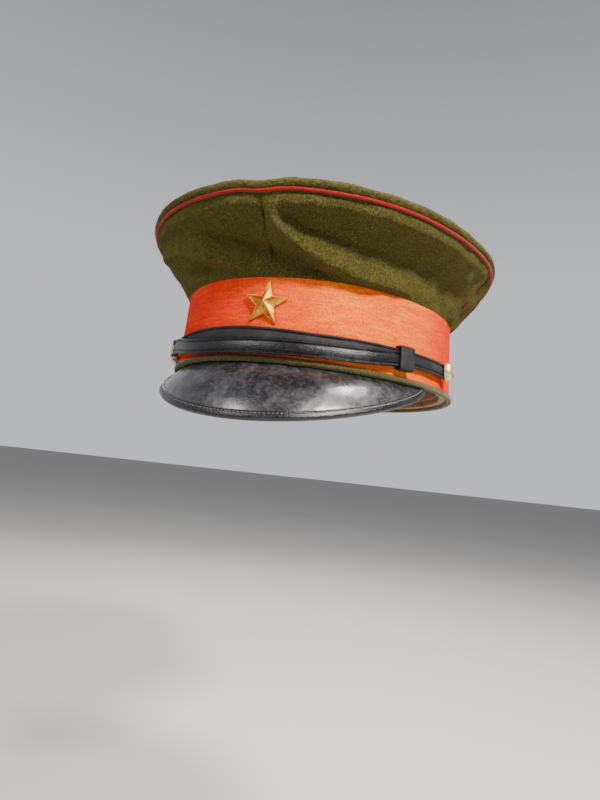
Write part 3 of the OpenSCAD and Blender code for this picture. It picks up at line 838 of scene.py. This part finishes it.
def make_eyelets():
    """Two rolled metal rings in the cloth on each side."""
    tube = [[1.05, -1.8], [1.05, 0.3], [1.2, 0.62], [1.6, 0.78], [2.05, 0.6], [2.3, 0.2],
            [2.2, 0.02], [1.5, -0.05], [1.5, -1.8]]
    for side, name in ((1, "left"), (-1, "right")):
        for i, s in enumerate(EYELET_RISES):
            piece = sweep(f"eyelet_{name}_{i + 1}", turned(tube, 40), True, 60)
            set_frame(piece, *side_frame(side * EYELET_FACING, s))
            finish_piece(piece, "cap", "eyelet_metal", EYELET, "vent_eyelets_" + name)


# ---- Band ----


def make_band():
    """Felt round the band, rounded where it turns over at the top."""
    t = np.arange(0, 360, 0.6)[:, None]
    z = np.concatenate([np.linspace(0.15, BAND_HEIGHT - 0.5, 40), [BAND_HEIGHT - 0.12]])[None, :]
    z = z + foot_rise(t) * (1 - z / BAND_HEIGHT)
    wave = 0.12 * ripple(on_wall(t, z), 26, 41) + 0.05 * ripple(on_wall(t, z), 2.4, 42, 10)
    outer = on_wall(t, z, wave * step(z, 0, 4))
    top = on_wall(t, BAND_HEIGHT + 0 * t, -0.35)
    inner_top = on_wall(t, BAND_HEIGHT + 0 * t, -FELT + 0.05)
    inner_foot = on_wall(t, foot_rise(t), -FELT + 0.05)
    foot = on_wall(t, foot_rise(t), -0.2)
    piece = sweep("felt_band", np.concatenate([outer, top, inner_top, inner_foot, foot], 1), True, 50)
    finish_piece(piece, "cap", "red_felt", FELT_RED, "hat_band")


def make_lower_cord():
    """Three strands of yarn laid together: their ridges run slantwise round the cord."""
    t = np.arange(0, 360, 0.3)[:, None]
    middle = oval(t, CORD_OUT)
    gaps = np.linalg.norm(np.roll(middle, -1, 0) - middle, axis=-1)
    length = gaps.sum()
    run = np.concatenate([[0], np.cumsum(gaps[:-1])])[:, None]
    turn = np.radians(np.arange(0, 360, 15))[None, :]
    twist = 2 * math.pi * round(length / CORD_LAY) * run / length
    strand = np.abs(np.cos(CORD_STRANDS / 2 * (turn - twist))) ** 0.7
    radius = (CORD_RADIUS + 0.1) * (0.74 + 0.26 * strand)
    radius = radius + 0.05 * ripple(vec(middle[..., 0], middle[..., 1], 0 * t), 5, 51)
    out = CORD_OUT + radius * np.cos(turn)
    p = oval(t + 0 * out, out)
    z = foot_rise(t) - CORD_BELOW + radius * np.sin(turn)
    piece = sweep("olive_cord", vec(p[..., 0], p[..., 1], z), True, 60)
    finish_piece(piece, "cap", "olive_cord", CORD_OLIVE, "lower_piping")


def make_sweatband():
    """Leather against the head, with its foot turned out."""
    t = np.arange(0, 360, 0.8)[:, None]
    inner, foot, top = SWEATBAND_FACE, -SWEATBAND_FOOT, SWEATBAND_HEIGHT
    profile = smooth_line([[-1.9, foot + 0.2], [-2.4, foot], [inner + 0.9, foot], [inner + 0.1, -0.5],
                           [inner, 1.5], [inner, 12], [inner, 25], [inner, top - 0.7],
                           [inner + 0.5, top], [-SWEATBAND_IN - 0.1, top - 0.6]], 60)
    out, z = profile[:, 0][None, :], profile[:, 1][None, :]
    sag = 0.35 * ripple(on_wall(t, z), 40, 61) * step(z, 3, 25)
    face = on_wall(t, z + 0 * t, out - np.abs(sag))
    back = np.array([[-SWEATBAND_IN, top - 1.5], [-SWEATBAND_IN, 20], [-SWEATBAND_IN, 0.1],
                     [-1.9, -0.1]])
    behind = on_wall(t, back[:, 1][None, :] + 0 * t, back[:, 0][None, :] + 0 * t)
    piece = sweep("sweatband_skin", np.concatenate([face, behind], 1), True, 50)
    finish_piece(piece, "cap", "sweatband_leather", SWEATBAND_TAN, "sweatband")


def make_sweatband_stitches():
    """A row of pale stitches above the sweatband's foot."""
    way = np.arange(0, 360, 1.8)
    points = on_wall(way, SWEATBAND_STITCH_HEIGHT + 0 * way, SWEATBAND_FACE - 0.02)
    normals = -np.append(facing(way), np.zeros((len(way), 1)), -1)
    row = stitch_row("sweatband_stitches", points, normals, 2.2, 0.5, 0.22)
    finish_piece(row, "cap", "sweatband_leather", PALE_THREAD)


# ---- Peak ----


def peak_edge(t):
    """Point of the peak's outer edge, from corner to corner as t goes from -90 to 90."""
    s, c = np.sin(np.radians(t)), np.cos(np.radians(t))
    return vec(
        PEAK_HALF_WIDTH * s + PEAK_FULLNESS * np.sin(2 * np.radians(t)),
        -CORNER_FORWARD - (PEAK_REACH + BAND_HALF_LENGTH - CORNER_FORWARD) * c**PEAK_SWING,
        -CORNER_BELOW - (PEAK_DROP - CORNER_BELOW) * c**PEAK_FALL,
    )


def peak_facing(t):
    """Way that the band faces nearest to the peak's edge at t, and the edge's distance out."""
    x, y, _ = np.moveaxis(peak_edge(t), -1, 0)
    end = np.degrees(np.arctan2(x, -y - ARC_CENTRE))
    side = np.sign(x) * (90 - np.degrees(np.arctan2(-y, np.abs(x) + ARC_CENTRE)))
    at_end = np.abs(end) <= 45
    out_end = np.hypot(x, y + ARC_CENTRE) - END_RADIUS
    out_side = np.hypot(np.abs(x) + ARC_CENTRE, y) - SIDE_RADIUS
    return np.where(at_end, end, side), np.where(at_end, out_end, out_side)


def peak_point(t, s, up=0.0, on=0.0):
    """Point of the peak's leather: s from the root to the edge, up above it and on past it."""
    t, s = np.broadcast_arrays(np.asarray(t, float), np.asarray(s, float))
    way, out = peak_facing(t)
    edge = vec(out, peak_edge(t)[..., 2])
    root = PEAK_ROOT + vec(0 * way, foot_rise(way))
    reach = edge - root
    depth = np.linalg.norm(reach, axis=-1)
    along = reach / depth[..., None]
    rise = vec(-along[..., 1], along[..., 0])
    deepest = np.hypot(PEAK_REACH - PEAK_ROOT[0], -PEAK_DROP - PEAK_ROOT[1])
    bulge = 4 * PEAK_BULGE * depth / deepest
    flat = root + reach * s[..., None] + (bulge * depth * s * (1 - s))[..., None] * rise
    slope = unit(along + (bulge * (1 - 2 * s))[..., None] * rise)
    normal = vec(-slope[..., 1], slope[..., 0])
    flat = flat + np.asarray(up)[..., None] * normal + np.asarray(on)[..., None] * slope
    p = oval(way, flat[..., 0])
    return vec(p[..., 0], p[..., 1], flat[..., 1])


def peak_depth(t):
    """Straight distance from the peak's root to its edge."""
    _, out = peak_facing(t)
    return np.hypot(out - PEAK_ROOT[0], peak_edge(t)[..., 2] - PEAK_ROOT[1])


def on_section(t, points):
    """Fixed (out, height) points in the peak's cross-sections."""
    way, _ = peak_facing(t)
    p = np.asarray(points, float)
    flat = oval(way + 0 * p[:, 0], p[:, 0] + 0 * way)
    return vec(flat[..., 0], flat[..., 1], p[:, 1] + 0 * way)


def make_peak():
    """Lacquered board, with its root turned up under the band's edge."""
    t = np.linspace(-84, 84, 240)[:, None]
    s = np.linspace(0, 1, 34)[None, :]
    wave = 0.10 * ripple(peak_point(t, s), 22, 71) + 0.03 * ripple(peak_point(t, s), 7, 72)
    top = peak_point(t, s, wave * step(s, 0, 0.2) * step(1 - s, 0, 0.15))
    under = peak_point(t, s[:, ::-1], -PEAK_THICKNESS + 0 * t)
    front = on_section(t, [[-2.3, -1.25], [-2.2, -4.1]])
    back = on_section(t, [[-4.1, -5.6], [-4.1, -1.25]])
    board = sweep("peak_board", np.concatenate([front, top, under, back], 1))
    finish_piece(board, "cap", "lacquered_leather", LACQUER, "peak")


def make_peak_lining():
    """Thin green leather under the board."""
    t = np.linspace(-84, 84, 240)[:, None]
    s = np.linspace(0, 1, 34)[None, :]
    over = -PEAK_THICKNESS - 0.1
    upper = peak_point(t, s, over + 0 * t)
    lower = peak_point(t, s[:, ::-1], over - PEAK_LINING + 0 * t)
    lining = sweep("peak_underside", np.concatenate([upper, lower], 1))
    finish_piece(lining, "cap", "peak_lining_leather", PEAK_LINING_GREEN, "peak_lining")


def make_binding():
    """Leather strip rolled round the peak's edge, pressed down along its row of stitches."""
    t = np.linspace(-84, 84, 300)[:, None]
    start = 1 - np.minimum(BINDING_WIDTH / peak_depth(t), 0.8)
    under = -PEAK_THICKNESS - PEAK_LINING - 0.2
    gap, roll = BINDING_GAP, BINDING_FACE
    middle = (gap + under) / 2
    half = (roll - (under - BINDING_THICKNESS)) / 2

    def row(share, up, on=0.0):
        return peak_point(t, start + (1 - start) * share, up + 0 * t, on + 0 * t)

    rows = [row(0, gap), row(0.01, 0.6 * roll)]
    rows += [row(k, roll + up) for k, up in ((0.06, 0.05), (0.18, 0.1), (0.3, -0.1),
                                             (0.36, -0.22), (0.42, -0.16), (0.5, 0.1))]
    rows += [row(k, roll + 0.12 * math.sin(math.pi * k)) for k in (0.6, 0.72, 0.86, 1.0)]
    for angle in np.radians(np.linspace(75, -75, 11)):
        rows.append(row(1, middle + half * math.sin(angle), (BINDING_EDGE + 0.2) * math.cos(angle)))
    rows += [row(k, under - BINDING_THICKNESS) for k in (1.0, 0.75, 0.5, 0.25, 0.05)]
    rows += [row(0, under - 0.2), row(0, under)]
    rows += [row(1, under - 0.1, 0.1), row(1, gap, 0.1)]
    piece = sweep("peak_rolled_binding", np.concatenate(rows, 1), smooth=50)
    finish_piece(piece, "cap", "lacquered_leather", BINDING_BLACK, "peak_binding")


def make_binding_stitches():
    """A row of stitches, evenly spaced along the pressed line of the binding."""
    inset = BINDING_STITCH_SHARE * BINDING_WIDTH
    fine = np.linspace(-82, 82, 4000)
    line = peak_point(fine, 1 - inset / peak_depth(fine), BINDING_FACE - 0.05 + 0 * fine)
    run = np.concatenate([[0], np.cumsum(np.linalg.norm(np.diff(line, axis=0), axis=-1))])
    at = np.interp(np.arange(0, run[-1], STITCH_PITCH), run, fine)
    share = 1 - inset / peak_depth(at)
    points = peak_point(at, share, BINDING_FACE - 0.12 + 0 * at)
    normals = unit(peak_point(at, share, 1.0 + 0 * at) - peak_point(at, share, 0 * at))
    stitches = stitch_row("binding_stitches", points, normals, 1.75, 0.6, 0.32)
    finish_piece(stitches, "cap", "lacquered_leather", BLACK_THREAD)


# ---- Chin strap ----


def front_middle(t):
    """Height of the front layer's middle, which hangs below the strap's ends."""
    t = np.asarray(t, float)
    share = np.clip(np.abs(t) / np.where(t < 0, *DIP_SPANS), 0, 1)
    return STRAP_CENTRE - STRAP_DIP * (1 - share**6) ** 2


def rear_middle(t):
    """Height of the rear layer's middle, which bows up above the strap's ends."""
    share = np.clip((np.asarray(t, float) - BOW_FACING) / BOW_SPAN, -1, 1)
    return STRAP_CENTRE + STRAP_BOW * (1 - share**2) ** 2


def strap_layer(name, node, button_at, stop, out, middle, cut, slot, material):
    """One layer of the strap, from its round end at a button to where the wall faces stop, with
    its middle at the heights middle(t): beads along both edges and a pressed line inside each."""
    away = 1 if button_at > 0 else -1
    degree = SIDE_RADIUS * math.radians(1)
    half_width = STRAP_WIDTH / 2
    round_end = button_at + away * (half_width - 0.15) / degree
    ramp_in = round_end - away * np.linspace(0, 1, 12) ** 2 * half_width / degree
    rest = np.linspace(ramp_in[-1], stop, 260)[1:]
    t = np.sort(np.concatenate([ramp_in, rest]))[:, None]
    past = np.clip(away * (t - button_at) * degree, 0, None)
    half = np.sqrt(np.clip(half_width**2 - past**2, 0.05, None))
    half = half - 0.35 * cut * bump((t - stop) * degree, 1.2)
    across = np.array([0, 0.1, 0.4, 0.8, 1.2, 1.5, 1.7, 2.0, 2.3, 3.2, half_width])
    height = np.array([0.4, 0.8, 1.2, 1.34, 1.2, 0.8, 0.5, 0.5, 0.95, 1.08, 1.12])
    y = np.concatenate([across, (STRAP_WIDTH - across)[::-1][1:]]) / half_width - 1
    h = np.concatenate([height, height[::-1][1:]])[None, :]
    z = middle(t) + y[None, :] * half
    lift = 0.06 * ripple(on_wall(t, z), 15, 81)
    face = on_wall(t, z, out + h + lift * (h > 0.5))
    back_y = np.array([[1.0, 0.96, 0, -0.96, -1.0]])
    back_h = np.array([[0.4, 0.05, 0.05, 0.05, 0.4]])
    back = on_wall(t, middle(t) + back_y * half, out + back_h + 0 * t)
    piece = sweep(name, np.concatenate([face, back], 1), smooth=35)
    finish_piece(piece, "chin_strap", slot, material, node)


def make_strap():
    """Two layers, each buttoned at one side and held in a loop near the other."""
    strap_layer("front_strap", "chin_strap_front", -BUTTON_FACING, KEEPER_FACING + 2, FRONT_OUT,
                front_middle, 1, "strap_leather", STRAP_BLACK)
    strap_layer("rear_strap", "chin_strap_rear", BUTTON_FACING, SLIDER_FACING - 2, REAR_OUT,
                rear_middle, 0, "strap_suede", STRAP_SUEDE)


def loop_ring(wall, radius, sag):
    """Rounded rings of (out, height) points round both layers: a loop's outside and inside."""
    inner, outer = REAR_OUT - LOOP_CLEAR, FRONT_OUT + STRAP_THICKNESS + LOOP_CLEAR
    low = STRAP_CENTRE - STRAP_WIDTH / 2 - LOOP_CLEAR - sag
    high = STRAP_CENTRE + STRAP_WIDTH / 2 + LOOP_CLEAR

    def box(grow, r):
        corners = [(outer + grow, high + grow, 0), (inner - grow, high + grow, 90),
                   (inner - grow, low - grow, 180), (outer + grow, low - grow, 270)]
        points = []
        for out, z, start in corners:
            centre = (out - r * (1 if start in (0, 270) else -1), z - r * (1 if start < 180 else -1))
            for a in np.radians(np.linspace(start, start + 90, 4)):
                points.append([centre[0] + r * math.cos(a), centre[1] + r * math.sin(a)])
        return np.array(points)

    return box(wall, radius), box(0.02, 0.3)


def make_loop(name, node, body, slot, material, at, half_angle, wall, radius, sag, swell):
    """A loop round the strap, its outer and inner faces joined by rounded edges."""
    outside, inside = loop_ring(wall, radius, sag)
    runs = np.concatenate([[-1, -0.93, -0.8], np.linspace(-0.6, 0.6, 5), [0.8, 0.93, 1]])
    middle = (outside + inside) / 2
    loops = []
    for face, order, soft in ((outside, 1, 0.4), (inside, -1, 0)):
        for share in runs[::order]:
            fall = 1 - swell * (abs(share) > 0.99) - soft * swell * (0.9 < abs(share) < 0.99)
            out, z = (middle + (face - middle) * fall).T
            loops.append(on_wall(at + half_angle * share + 0 * z, z, out))
    piece = sweep(name, np.array(loops), closed=True, smooth=40)
    finish_piece(piece, body, slot, material, node)


def make_loops():
    """The leather keeper and the brass slider."""
    make_loop("keeper_loop", "strap_keeper", "keeper", "strap_leather", STRAP_SUEDE,
              KEEPER_FACING, half_angle=2.5, wall=1.25, radius=0.9, sag=KEEPER_SAG, swell=0.35)
    make_loop("slider_frame", "strap_slider", "slider", "brass", BRASS,
              SLIDER_FACING, half_angle=2.0, wall=0.65, radius=0.5, sag=0, swell=0.45)


# ---- Star and buttons ----


def make_star():
    """Five-pointed star with ridged arms, a bevelled skirt and slightly hollow facets."""
    skirt, bevel, hollow = 0.95, 0.93, 0.22
    bands = [(1.0, 0.0), (1.0, 0.5), (0.965, skirt)]
    bands += [(k, skirt + (STAR_HEIGHT - skirt) * (1 - k / bevel) ** 0.92)
              for k in np.linspace(bevel, 0.0, 14)]
    k, z = np.array(bands).T
    corner = np.arange(10)
    way = np.radians(90 + STAR_TURN + 36 * corner)
    radius = STAR_RADIUS * np.where(corner % 2 == 0, 1, STAR_INNER)
    corners = vec(radius * np.cos(way), radius * np.sin(way))[:, None]
    f = np.arange(6) / 6
    outline = corners * (1 - f[:, None]) + np.roll(corners, -1, 0) * f[:, None]
    outline = outline.reshape(-1, 1, 2)
    dish = np.tile(hollow * np.sin(np.pi * f), 10)[:, None] * np.sin(np.pi * k) * (z > skirt)
    loops = vec(outline[..., 0] * k, outline[..., 1] * k, z - dish + STAR_GAP)
    base = np.zeros_like(loops[:, :1]) + [0, 0, STAR_GAP]
    piece = sweep("star", np.concatenate([base, loops], 1), True, 18)
    merge_points(piece)
    place_on_band(piece, STAR_FACING, STAR_CENTRE)
    finish_piece(piece, "cap", "brass", BRASS, "star_badge")


def make_buttons():
    """Domed buttons with a raised rim, a groove and a small boss."""
    r = BUTTON_RADIUS
    profile = [(0, 0), (r - 0.4, 0), (r - 0.05, 0.2), (r, 0.55), (r - 0.12, 0.9), (r - 0.35, 1.0),
               (r - 0.5, 0.85)]
    profile += [(5.35 * math.cos(a), 0.95 + 3.55 * math.sin(a))
                for a in np.radians(np.linspace(6, 76, 14))]
    profile += [(1.3, 4.4), (1.3, 4.75), (1.1, 4.88), (0, 4.92)]
    for side, t, under in (("left", BUTTON_FACING, FRONT_OUT),
                           ("right", -BUTTON_FACING, FRONT_OUT + STRAP_THICKNESS)):
        piece = lathe("button_cap_" + side, [(a, b + (under + BUTTON_GAP)) for a, b in profile])
        place_on_band(piece, t, STRAP_CENTRE)
        finish_piece(piece, "button_" + side, "brass", BUTTON_BRASS, "button_" + side)


def dress_kept_nodes():
    """CAD nodes whose shapes are right keep them and get a material."""
    kept = {
        "crown_hoop_wire": STEEL, "hoop_ferrule": BRASS, "band_stiffener": CANVAS,
        "badge_prongs": BRASS, "button_pin_left": STEEL, "button_pin_right": STEEL,
    }
    for node, material in kept.items():
        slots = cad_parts[node].data.materials
        slots.clear()
        slots.append(material)


# ---- Studio ----


def make_camera():
    """The photograph's view: from a little below, a little to the wearer's right."""
    across, rise = math.cos(CAMERA_PITCH), -math.sin(CAMERA_PITCH)
    view = np.array([-math.sin(CAMERA_YAW) * across, math.cos(CAMERA_YAW) * across, rise])
    level = np.array([math.cos(CAMERA_YAW), math.sin(CAMERA_YAW), 0])
    above = np.cross(level, view)
    right = math.cos(CAMERA_ROLL) * level + math.sin(CAMERA_ROLL) * above
    up = -math.sin(CAMERA_ROLL) * level + math.cos(CAMERA_ROLL) * above
    place = CAMERA_AIM - CAMERA_DISTANCE * (view + right * AIM_ASIDE + up * AIM_BELOW)
    data = bpy.data.cameras.new("camera")
    data.sensor_fit = "AUTO"
    data.sensor_width = SENSOR
    data.lens = LENS
    data.clip_start, data.clip_end = 0.01, 100
    camera = bpy.data.objects.new("camera", data)
    bpy.context.scene.collection.objects.link(camera)
    matrix = np.eye(4)
    matrix[:3, :3] = np.stack([right, up, -view], 1)
    matrix[:3, 3] = place * MM
    camera.matrix_world = Matrix(matrix.tolist())
    bpy.context.scene.camera = camera


def area_light(name, at, size, power, tint):
    """Round lamp at a place, turned towards the cap."""
    data = bpy.data.lights.new(name, "AREA")
    data.shape = "DISK"
    data.size, data.energy, data.color = size, power, tint
    light = bpy.data.objects.new(name, data)
    light.location = at
    light.rotation_mode = "QUATERNION"
    light.rotation_quaternion = (Vector(LIGHTS_AIM) - Vector(at)).to_track_quat("-Z", "Y")
    bpy.context.scene.collection.objects.link(light)


def make_floor():
    """A wide plain floor well below the cap."""
    half, z = FLOOR_HALF, FLOOR_HEIGHT
    corners = [[-half, -half, z], [half, -half, z], [half, half, z], [-half, half, z]]
    floor = mesh_piece("floor", corners, [[0, 1, 2, 3]])
    floor.data.materials.append(FLOOR_PALE)


def make_world():
    """Pale surroundings, brighter low down than overhead."""
    world = bpy.data.worlds.new("studio")
    world.use_nodes = True
    tree = world.node_tree
    at = tree.nodes.new("ShaderNodeTexCoord").outputs["Generated"]
    height = tree.nodes.new("ShaderNodeSeparateXYZ")
    tree.links.new(at, height.inputs[0])
    fade = tree.nodes.new("ShaderNodeMapRange")
    tree.links.new(height.outputs["Z"], fade.inputs[0])
    for name, value in WORLD_FADE.items():
        fade.inputs[name].default_value = value
    background = tree.nodes["Background"]
    background.inputs["Color"].default_value = WORLD_COLOUR
    tree.links.new(fade.outputs[0], background.inputs["Strength"])
    bpy.context.scene.world = world


def make_lights():
    """A hard key from the front left of the cap, one overhead, and weak ones in front and behind."""
    for name, lamp in LIGHTS.items():
        area_light(name, *lamp)


make_camera()
make_crown_sides()
make_crown_top()
make_crown_piping()
make_side_lining()
make_lining_tip()
make_eyelets()
make_band()
make_lower_cord()
make_sweatband()
make_sweatband_stitches()
make_peak()
make_peak_lining()
make_binding()
make_binding_stitches()
make_strap()
make_loops()
make_star()
make_buttons()
dress_kept_nodes()
make_floor()
make_world()
make_lights()
